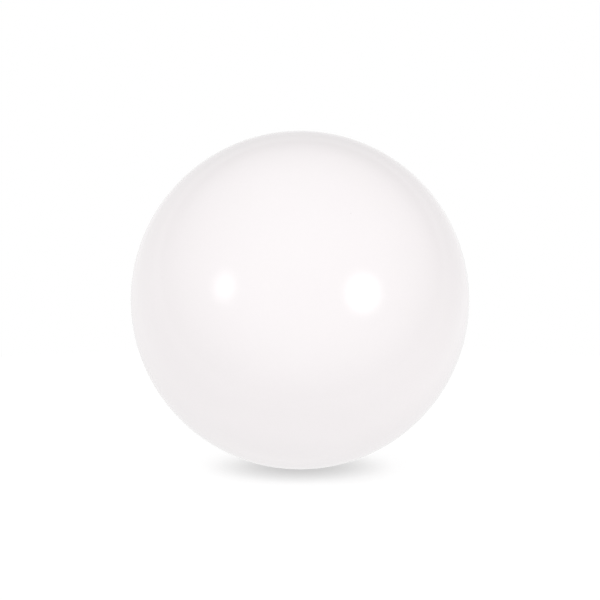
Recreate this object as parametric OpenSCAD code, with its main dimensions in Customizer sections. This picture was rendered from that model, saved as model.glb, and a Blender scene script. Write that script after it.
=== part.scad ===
// Contact juggling ball
//
// One solid ball of opaque cast acrylic, ground round and polished all over.
// It has no seam, plug, bore or flat: every point of its surface is the same
// distance from its centre, so it rolls the same way along a hand or an arm
// in every direction.
//
// Units are millimetres. +Z is up and the origin is at the ball's centre.

/* [Ball] */
// Diameter of the ball, across its polished surface
ball_diameter = 76; // [60:1:100]
// Colour of the acrylic, right through the ball
ball_color = "snow"; // [snow, white, whitesmoke]

/* [Hidden] */

// Facets around the drawn ball. The solid itself is a true sphere.
drawn_facets = 180;

// The ball, which is one piece from its centre to its surface.
module ball() {
    color(ball_color)
        sphere(d = ball_diameter, $fn = drawn_facets);
}

ball();
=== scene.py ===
import math

import bpy
import numpy as np
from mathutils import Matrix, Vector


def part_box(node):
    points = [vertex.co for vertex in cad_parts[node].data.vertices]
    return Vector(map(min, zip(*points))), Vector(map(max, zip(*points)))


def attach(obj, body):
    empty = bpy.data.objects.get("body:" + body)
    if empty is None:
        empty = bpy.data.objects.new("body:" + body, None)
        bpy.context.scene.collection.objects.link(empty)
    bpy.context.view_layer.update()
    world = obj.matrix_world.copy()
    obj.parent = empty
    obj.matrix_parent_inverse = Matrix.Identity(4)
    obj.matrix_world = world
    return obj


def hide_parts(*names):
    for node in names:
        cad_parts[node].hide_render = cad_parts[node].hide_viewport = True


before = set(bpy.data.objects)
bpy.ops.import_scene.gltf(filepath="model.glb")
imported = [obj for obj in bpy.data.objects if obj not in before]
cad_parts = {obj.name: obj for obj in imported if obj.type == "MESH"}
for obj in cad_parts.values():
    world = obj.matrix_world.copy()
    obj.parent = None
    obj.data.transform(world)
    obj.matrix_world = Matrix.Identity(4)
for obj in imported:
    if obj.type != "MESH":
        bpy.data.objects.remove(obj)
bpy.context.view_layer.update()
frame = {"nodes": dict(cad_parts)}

lowCorner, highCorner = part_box("ball")
ballRadius = (highCorner.z - lowCorner.z) / 2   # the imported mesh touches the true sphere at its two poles
print("frame loaded:", ", ".join(frame["nodes"]), "with a diameter of", round(2000 * ballRadius, 2), "mm")


def addNode(tree, kind, **settings):
    node = tree.nodes.new(kind)
    for name, value in settings.items():
        setattr(node, name, value)
    return node


def link(tree, source, target):
    tree.links.new(source, target)


def direction(turn, rise):
    # in degrees: turn goes round from the camera's side towards its right, and rise goes up from level
    turn, rise = math.radians(turn), math.radians(rise)
    return math.cos(rise) * math.sin(turn), -math.cos(rise) * math.cos(turn), math.sin(rise)


cameraSetup = {
    "lens": 100,              # mm, on the usual 36 mm sensor
    "rise": 5,                # degrees above level
    "shareOfFrame": 0.5645,   # the ball's width over the frame's
}


def makeCamera(setup):
    data = bpy.data.cameras.new("camera")
    data.lens = setup["lens"]
    camera = bpy.data.objects.new("camera", data)
    bpy.context.scene.collection.objects.link(camera)
    # the lines of sight that touch the ball make its outline: the sine of its half angle is radius / distance
    halfAngle = math.atan(setup["shareOfFrame"] * data.sensor_width / 2 / data.lens)
    distance = ballRadius / math.sin(halfAngle)
    camera.location = [distance * part for part in direction(0, setup["rise"])]
    camera.rotation_euler = (math.radians(90 - setup["rise"]), 0, 0)
    data.clip_start = distance / 100
    bpy.context.scene.camera = camera
    print("camera:", round(1000 * distance), "mm from the ball's middle")


makeCamera(cameraSetup)

ballSetup = {
    "cells": 80,     # squares along each side of the six patches
    "margin": 0.02,  # bare edge round each patch in the UV map, as a share of the patch
}


def cubeSphere(radius, cells):
    # Six square patches cover the sphere as the sides of a cube would. A patch is a grid of angles a and b,
    # both in equal steps from -45 to 45 degrees. Its point (tan a, tan b, 1) is moved along its own line from
    # the middle until it lies at the radius.
    angle = np.linspace(-math.pi / 4, math.pi / 4, cells + 1)
    a, b = np.meshgrid(angle, angle, indexing="ij")
    patch = np.stack([np.tan(a), np.tan(b), np.ones_like(a)], axis=-1)
    patch *= radius / np.linalg.norm(patch, axis=-1, keepdims=True)
    # each side's own right, up and outward directions, where right x up = outward
    sides = np.array([
        [[0, 1, 0], [0, 0, 1], [1, 0, 0]],
        [[0, -1, 0], [0, 0, 1], [-1, 0, 0]],
        [[-1, 0, 0], [0, 0, 1], [0, 1, 0]],
        [[1, 0, 0], [0, 0, 1], [0, -1, 0]],
        [[1, 0, 0], [0, 1, 0], [0, 0, 1]],
        [[1, 0, 0], [0, -1, 0], [0, 0, -1]],
    ])
    return np.einsum("ijk,skl->sijl", patch, sides)


def gridSquares(grid):
    # the four corners of each square, in order round it, from each patch's grid of numbers or places
    return np.stack([grid[:, :-1, :-1], grid[:, 1:, :-1], grid[:, 1:, 1:], grid[:, :-1, 1:]], axis=3)


def patchPlaces(cells, margin):
    # the UV map lays the six patches out in three columns and two rows
    step = margin + (1 - 2 * margin) * np.linspace(0, 1, cells + 1)
    across, up = np.meshgrid(step, step, indexing="ij")
    side = np.arange(6)[:, None, None]
    return np.stack([(side % 3 + across) / 3, (side // 3 + up) / 2], axis=-1)


def makeBall(setup):
    cells = setup["cells"]
    points = cubeSphere(ballRadius, cells).reshape(-1, 3)
    numbers = np.arange(len(points)).reshape(6, cells + 1, cells + 1)
    # neighbouring patches share their edges, so points that are in the same place become one
    places = np.round(points / ballRadius, 6)
    _, first, merged = np.unique(places, axis=0, return_index=True, return_inverse=True)
    squares = merged.reshape(-1)[gridSquares(numbers).reshape(-1, 4)]
    mesh = bpy.data.meshes.new("polishedBall")
    mesh.from_pydata(points[first], [], squares)
    bakeMap = mesh.uv_layers.new(name="OFBake")   # the ball's own UV map, with the six patches laid out below
    corners = gridSquares(patchPlaces(cells, setup["margin"]))
    bakeMap.uv.foreach_set("vector", corners.astype(np.float32).reshape(-1))
    mesh.shade_smooth()
    ball = bpy.data.objects.new("polishedBall", mesh)
    bpy.context.scene.collection.objects.link(ball)
    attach(ball, "root")
    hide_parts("ball")
    print("ball:", len(first), "points,", len(squares), "squares")
    return ball


ball = makeBall(ballSetup)

# sizes are in metres, and heights and depths in micrometres
acrylic = {
    "ior": 1.49,
    # two close tints of the white, in soft clouds with fine grains between them
    "color": (0.928, 0.893, 0.901),
    "cloudColor": (0.912, 0.877, 0.885),
    "cloudSize": 0.022,
    "grainSize": 0.0007,
    "grainShare": 0.3,    # the grains' part in the tint, against the clouds'
    # one speck of dust set in the front of it
    "speckTurn": 19.2,
    "speckRise": 32.8,
    "speckWidth": 0.00036,
    "speckColor": (0.82, 0.79, 0.795),
    # handling leaves a thin haze in patches: the roughness goes from polish to haze
    "polish": 0.055,
    "haze": 0.095,
    "hazeSize": 0.014,
    "layers": 3,          # how many times over the clouds and the haze have finer patches within them
    # the polished face isn't quite true: it has long soft waves and a fine grain
    "waveSize": 0.0065,
    "waveHeight": 14,
    "bumpSize": 0.0004,
    "bumpHeight": 3,
}

# hairlines from handling run round the ball, about these axes
hairlineSetup = {
    "axes": [(20, 35), (-65, -10), (110, 15)],   # turn and rise
    "spacing": 0.006,
    "width": 0.00006,
    "wander": 0.003,           # how far a line bends from its slice
    "wanderSize": 0.03,
    "gapSize": 0.008,
    "gapDepth": -1.2,          # noise from this to 1 fades the lines, and leaves a gap where it is below 0
    "fadeOut": (0.6, 0.9),     # how far along the axis, in radii, a line starts to fade and is gone
    "roughness": 0.06,         # added where a line is
    "depth": 0.5,
}


def noise(tree, place, size, low, high, layers=1):
    # soft random patches of that size, with finer ones in them, spread from low to high
    texture = addNode(tree, "ShaderNodeTexNoise")
    texture.inputs["Scale"].default_value = 1 / size
    texture.inputs["Detail"].default_value = layers
    link(tree, place, texture.inputs["Vector"])
    # nearly all of the noise lies between 0.3 and 0.7
    spread = addNode(tree, "ShaderNodeMapRange", clamp=False)
    spread.inputs["From Min"].default_value = 0.3
    spread.inputs["From Max"].default_value = 0.7
    spread.inputs["To Min"].default_value = low
    spread.inputs["To Max"].default_value = high
    link(tree, texture.outputs["Fac"], spread.inputs["Value"])
    return spread.outputs["Result"]


def towards(tree, place, turn, rise):
    # how far a place or a direction lies towards the one at that turn and rise
    dot = addNode(tree, "ShaderNodeVectorMath", operation="DOT_PRODUCT")
    dot.inputs[1].default_value = direction(turn, rise)
    link(tree, place, dot.inputs[0])
    return dot.outputs["Value"]


def combine(tree, operation, first, second):
    # first is a socket, and second is a socket or a number
    node = addNode(tree, "ShaderNodeMath", operation=operation)
    link(tree, first, node.inputs[0])
    if isinstance(second, (int, float)):
        node.inputs[1].default_value = second
    else:
        link(tree, second, node.inputs[1])
    return node.outputs["Value"]


def fade(tree, value, start, end):
    # 1 at start, falling smoothly to 0 at end, and level outside them
    node = addNode(tree, "ShaderNodeMapRange", interpolation_type="SMOOTHSTEP")
    node.inputs["From Min"].default_value = end
    node.inputs["From Max"].default_value = start
    link(tree, value, node.inputs["Value"])
    return node.outputs["Result"]


def mixColors(tree, share, first, second):
    # first and second are each a socket or a plain colour, and a share of 1 gives the second
    node = addNode(tree, "ShaderNodeMix", data_type="RGBA")
    link(tree, share, node.inputs["Factor"])
    for socket, color in ((node.inputs[6], first), (node.inputs[7], second)):
        if isinstance(color, tuple):
            socket.default_value = (*color, 1)
        else:
            link(tree, color, socket)
    return node.outputs[2]


def makeHairlines(tree, place, setup):
    # Round each axis the lines are thin slices at an even spacing along it, bent a little by noise. Noise
    # breaks them up too, and they fade out towards the ends of the axis, where a slice would lie flat.
    wander = noise(tree, place, setup["wanderSize"], 0, setup["wander"])
    fadeStart, fadeEnd = setup["fadeOut"]
    lines = None
    for number, (turn, rise) in enumerate(setup["axes"]):
        along = towards(tree, place, turn, rise)
        apart = combine(tree, "PINGPONG", combine(tree, "ADD", along, wander), setup["spacing"] / 2)
        line = fade(tree, apart, 0, setup["width"])
        fromMiddle = combine(tree, "ABSOLUTE", along, 0)
        clear = fade(tree, fromMiddle, fadeStart * ballRadius, fadeEnd * ballRadius)
        line = combine(tree, "MULTIPLY", line, clear)
        # each axis has its own gaps, from its own part of the noise
        shifted = addNode(tree, "ShaderNodeVectorMath", operation="ADD")
        shifted.inputs[1].default_value = (number, number, number)
        link(tree, place, shifted.inputs[0])
        gaps = noise(tree, shifted.outputs["Vector"], setup["gapSize"], setup["gapDepth"], 1)
        line = combine(tree, "MULTIPLY", line, gaps)
        lines = line if lines is None else combine(tree, "MAXIMUM", lines, line)
    return combine(tree, "MAXIMUM", lines, 0)


def makeAcrylic(setup):
    material = bpy.data.materials.new("whiteAcrylic")
    material.use_nodes = True
    tree = material.node_tree
    tree.nodes.clear()
    output = addNode(tree, "ShaderNodeOutputMaterial")
    shader = addNode(tree, "ShaderNodeBsdfPrincipled")
    shader.inputs["IOR"].default_value = setup["ior"]
    link(tree, shader.outputs["BSDF"], output.inputs["Surface"])
    place = addNode(tree, "ShaderNodeTexCoord").outputs["Object"]

    clouds = noise(tree, place, setup["cloudSize"], 0, 1 - setup["grainShare"], setup["layers"])
    grains = noise(tree, place, setup["grainSize"], 0, setup["grainShare"])
    pigment = mixColors(tree, combine(tree, "ADD", clouds, grains), setup["color"], setup["cloudColor"])
    fromSpeck = addNode(tree, "ShaderNodeVectorMath", operation="DISTANCE")
    speckDirection = direction(setup["speckTurn"], setup["speckRise"])
    fromSpeck.inputs[1].default_value = [ballRadius * part for part in speckDirection]
    link(tree, place, fromSpeck.inputs[0])
    speckRadius = setup["speckWidth"] / 2
    speck = fade(tree, fromSpeck.outputs["Value"], speckRadius / 2, speckRadius)
    link(tree, mixColors(tree, speck, pigment, setup["speckColor"]), shader.inputs["Base Color"])

    hairlines = makeHairlines(tree, place, hairlineSetup)
    haze = noise(tree, place, setup["hazeSize"], setup["polish"], setup["haze"], setup["layers"])
    scratched = combine(tree, "MULTIPLY", hairlines, hairlineSetup["roughness"])
    link(tree, combine(tree, "ADD", haze, scratched), shader.inputs["Roughness"])

    waves = noise(tree, place, setup["waveSize"], 0, setup["waveHeight"])
    bumps = noise(tree, place, setup["bumpSize"], 0, setup["bumpHeight"])
    grooves = combine(tree, "MULTIPLY", hairlines, -hairlineSetup["depth"])
    height = combine(tree, "ADD", combine(tree, "ADD", waves, bumps), grooves)
    bump = addNode(tree, "ShaderNodeBump")
    bump.inputs["Distance"].default_value = 1e-6   # one micrometre for each step of height
    link(tree, height, bump.inputs["Height"])
    link(tree, bump.outputs["Normal"], shader.inputs["Normal"])
    return material


ball.data.materials.append(makeAcrylic(acrylic))
print("white acrylic made")

floorSetup = {
    "radius": 0.23,
    "sides": 96,
    "shade": 0.25,        # its colour, which the lamps and the sky light up
    "glow": 0.8,          # the rest of the way to white
    "contactGlow": 0.4,   # the glow that is left right under the ball, which hides the whole sky there
    "openSky": 0.33,      # the share of open sky above which the floor keeps its full glow
    "skyReach": 0.2,      # how far up and out the open sky is looked for, in metres
}


def makeFloor(setup):
    turn = np.arange(setup["sides"]) * 2 * math.pi / setup["sides"]
    rim = np.stack([np.cos(turn), np.sin(turn), np.zeros_like(turn)], axis=1) * setup["radius"]
    rim[:, 2] = lowCorner.z
    mesh = bpy.data.meshes.new("floor")
    mesh.from_pydata(rim, [], [list(range(setup["sides"]))])
    floor = bpy.data.objects.new("floor", mesh)
    bpy.context.scene.collection.objects.link(floor)
    # only the camera sees the floor, because the sky has to light the ball from below and show in its gloss
    floor.visible_diffuse = False
    floor.visible_glossy = False
    floor.visible_shadow = False
    material = bpy.data.materials.new("paleFloor")
    material.use_nodes = True
    tree = material.node_tree
    tree.nodes.clear()
    output = addNode(tree, "ShaderNodeOutputMaterial")
    shade = addNode(tree, "ShaderNodeBsdfDiffuse")
    shade.inputs["Color"].default_value = (setup["shade"], setup["shade"], setup["shade"], 1)
    # a painted contact shadow: the floor's glow follows the share of the sky that the ball leaves open over
    # each place
    openSky = addNode(tree, "ShaderNodeAmbientOcclusion")
    openSky.inputs["Distance"].default_value = setup["skyReach"]
    strength = addNode(tree, "ShaderNodeMapRange")
    strength.inputs["From Max"].default_value = setup["openSky"]
    strength.inputs["To Min"].default_value = setup["contactGlow"]
    strength.inputs["To Max"].default_value = setup["glow"]
    link(tree, openSky.outputs["AO"], strength.inputs["Value"])
    glow = addNode(tree, "ShaderNodeEmission")
    link(tree, strength.outputs["Result"], glow.inputs["Strength"])
    both = addNode(tree, "ShaderNodeAddShader")
    link(tree, shade.outputs["BSDF"], both.inputs[0])
    link(tree, glow.outputs["Emission"], both.inputs[1])
    link(tree, both.outputs["Shader"], output.inputs["Surface"])
    mesh.materials.append(material)
    print("floor made")


makeFloor(floorSetup)

skySetup = {
    "light": 0.876,   # strength of the soft light from all round
    "lean": 0.095,    # how much stronger it is on one side, and weaker on the other
    "leanTurn": -33,
    "leanRise": 42,
}

# Gloss shows a white tent with a grey hoop round it. A place's depth is 1 at the far and lower end of the
# hoop's axis and -1 at its other end.
tentSetup = {
    "turn": -178,
    "rise": -38,
    # each tone, after the depth where it lies
    "tones": [(-0.60, 0.89), (-0.14, 0.54), (0.06, 0.30), (0.20, 0.26), (0.24, 0.52), (0.40, 0.55),
              (0.70, 0.94), (0.85, 0.92), (1.00, 0.97)],
    "sides": 0.27,               # how much lighter the tent is at the left, and darker at the right
    "sidesFade": (0.10, 0.80),   # the depths where that starts to fade and is gone
    # a patch of the table behind the ball is brighter
    "patch": 0.14,
    "patchTurn": -155,
    "patchRise": -65,
    "patchEdge": (0.80, 0.95),   # its outer and inner edge, where 1 is its middle
}


def makeTent(tree, place, setup):
    depth = towards(tree, place, setup["turn"], setup["rise"])
    share = addNode(tree, "ShaderNodeMapRange")   # how much of the way from depth -1 to 1
    share.inputs["From Min"].default_value = -1
    link(tree, depth, share.inputs["Value"])
    hoop = addNode(tree, "ShaderNodeValToRGB")
    hoop.color_ramp.interpolation = "LINEAR"
    stops = hoop.color_ramp.elements
    while len(stops) < len(setup["tones"]):
        stops.new(0.5)
    for stop, (toneDepth, tone) in zip(stops, setup["tones"]):
        stop.position = (toneDepth + 1) / 2
        stop.color = (tone, tone, tone, 1)
    link(tree, share.outputs["Result"], hoop.inputs["Fac"])
    fadeStart, fadeEnd = setup["sidesFade"]
    sides = combine(tree, "MULTIPLY", fade(tree, depth, fadeStart, fadeEnd), setup["sides"])
    darker = combine(tree, "MULTIPLY", towards(tree, place, 90, 0), sides)
    tent = combine(tree, "SUBTRACT", hoop.outputs["Color"], darker)
    outer, inner = setup["patchEdge"]
    patch = fade(tree, towards(tree, place, setup["patchTurn"], setup["patchRise"]), inner, outer)
    return combine(tree, "ADD", combine(tree, "MULTIPLY", patch, setup["patch"]), tent)


def makeBackground(tree, strength):
    # white, and strength is a socket or nothing, which leaves it at 1
    background = addNode(tree, "ShaderNodeBackground")
    background.inputs["Color"].default_value = (1, 1, 1, 1)
    if strength is not None:
        link(tree, strength, background.inputs["Strength"])
    return background.outputs["Background"]


def mixShaders(tree, share, first, second):
    # a share of 1 gives the second
    mix = addNode(tree, "ShaderNodeMixShader")
    link(tree, share, mix.inputs["Fac"])
    link(tree, first, mix.inputs[1])
    link(tree, second, mix.inputs[2])
    return mix.outputs["Shader"]


def makeSky(setup):
    world = bpy.data.worlds.new("studio")
    bpy.context.scene.world = world
    world.use_nodes = True
    tree = world.node_tree
    tree.nodes.clear()
    place = addNode(tree, "ShaderNodeTexCoord").outputs["Generated"]
    leaning = towards(tree, place, setup["leanTurn"], setup["leanRise"])
    strength = combine(tree, "ADD", combine(tree, "MULTIPLY", leaning, setup["lean"]), setup["light"])
    light = makeBackground(tree, strength)
    tent = makeBackground(tree, makeTent(tree, place, tentSetup))
    white = makeBackground(tree, None)
    # the camera sees plain white, gloss and glass see the tent, and everything else is lit by the soft light
    path = addNode(tree, "ShaderNodeLightPath")
    mirrored = combine(tree, "MAXIMUM", path.outputs["Is Glossy Ray"], path.outputs["Is Transmission Ray"])
    shown = mixShaders(tree, mirrored, light, tent)
    shown = mixShaders(tree, path.outputs["Is Camera Ray"], shown, white)
    output = addNode(tree, "ShaderNodeOutputWorld")
    link(tree, shown, output.inputs["Surface"])
    print("sky made")


makeSky(skySetup)

# Two soft boxes stand in front of the ball, to the right and left of the camera, and each is two lamps. The
# far one lights the ball but doesn't show in its gloss, where it would wash out the ball's edge as seen from
# behind. The near one only shows in the gloss, as a highlight, and the ball hides it from behind.
lampSetups = {
    "key": {
        "turn": 41.7,
        "rise": 7.6,
        "radiance": 3.5,
        "edge": 0.70,   # the share of the lamp's half width over which it fades out
        "far": {"distance": 1.0, "across": 0.623, "tall": 0.615},
        "near": {"distance": 0.05, "across": 0.042, "tall": 0.042},
    },
    "fill": {
        "turn": -51,
        "rise": 10.6,
        "radiance": 3.5,
        "edge": 1.18,   # over 1, so that its very middle is a little dimmer too
        "far": {"distance": 1.0, "across": 0.484, "tall": 0.547},
        "near": {"distance": 0.05, "across": 0.0315, "tall": 0.036},
    },
}


def softenEdge(data, edge):
    # full strength in the middle of the lamp, falling smoothly to nothing at its rim
    data.use_nodes = True
    tree = data.node_tree
    tree.nodes.clear()
    outward = addNode(tree, "ShaderNodeVectorMath", operation="DISTANCE")
    outward.inputs[1].default_value = (0.5, 0.5, 0)   # the middle of the lamp
    link(tree, addNode(tree, "ShaderNodeNewGeometry").outputs["Parametric"], outward.inputs[0])
    emission = addNode(tree, "ShaderNodeEmission")
    strength = fade(tree, outward.outputs["Value"], 0.5 * (1 - edge), 0.5)
    link(tree, strength, emission.inputs["Strength"])
    output = addNode(tree, "ShaderNodeOutputLight")
    link(tree, emission.outputs["Emission"], output.inputs["Surface"])


def makeLamp(name, setup, box, start):
    # start is the place on or in the ball that the lamp faces and its distance is measured from
    data = bpy.data.lights.new(name, "AREA")
    data.shape = "ELLIPSE"
    data.size = box["across"]
    data.size_y = box["tall"]
    # power is pi x radiance x area, and the area of an ellipse is pi / 4 x its width x its height
    data.energy = math.pi * setup["radiance"] * math.pi / 4 * box["across"] * box["tall"]
    softenEdge(data, setup["edge"])
    lamp = bpy.data.objects.new(name, data)
    bpy.context.scene.collection.objects.link(lamp)
    lamp.location = start + box["distance"] * np.array(direction(setup["turn"], setup["rise"]))
    lamp.rotation_euler = (math.radians(90 - setup["rise"]), 0, math.radians(setup["turn"]))
    lamp.visible_camera = False
    print(name, "made")
    return lamp


def highlightPlace(setup):
    # where the ball faces halfway between the directions of the lamp and the camera
    halfway = np.array(direction(setup["turn"], setup["rise"])) + direction(0, cameraSetup["rise"])
    return ballRadius * halfway / np.linalg.norm(halfway)


for name, setup in lampSetups.items():
    farLamp = makeLamp(name + "Light", setup, setup["far"], np.zeros(3))
    farLamp.visible_glossy = False
    nearLamp = makeLamp(name + "Highlight", setup, setup["near"], highlightPlace(setup))
    nearLamp.visible_diffuse = False

bpy.context.scene.view_settings.view_transform = "Standard"
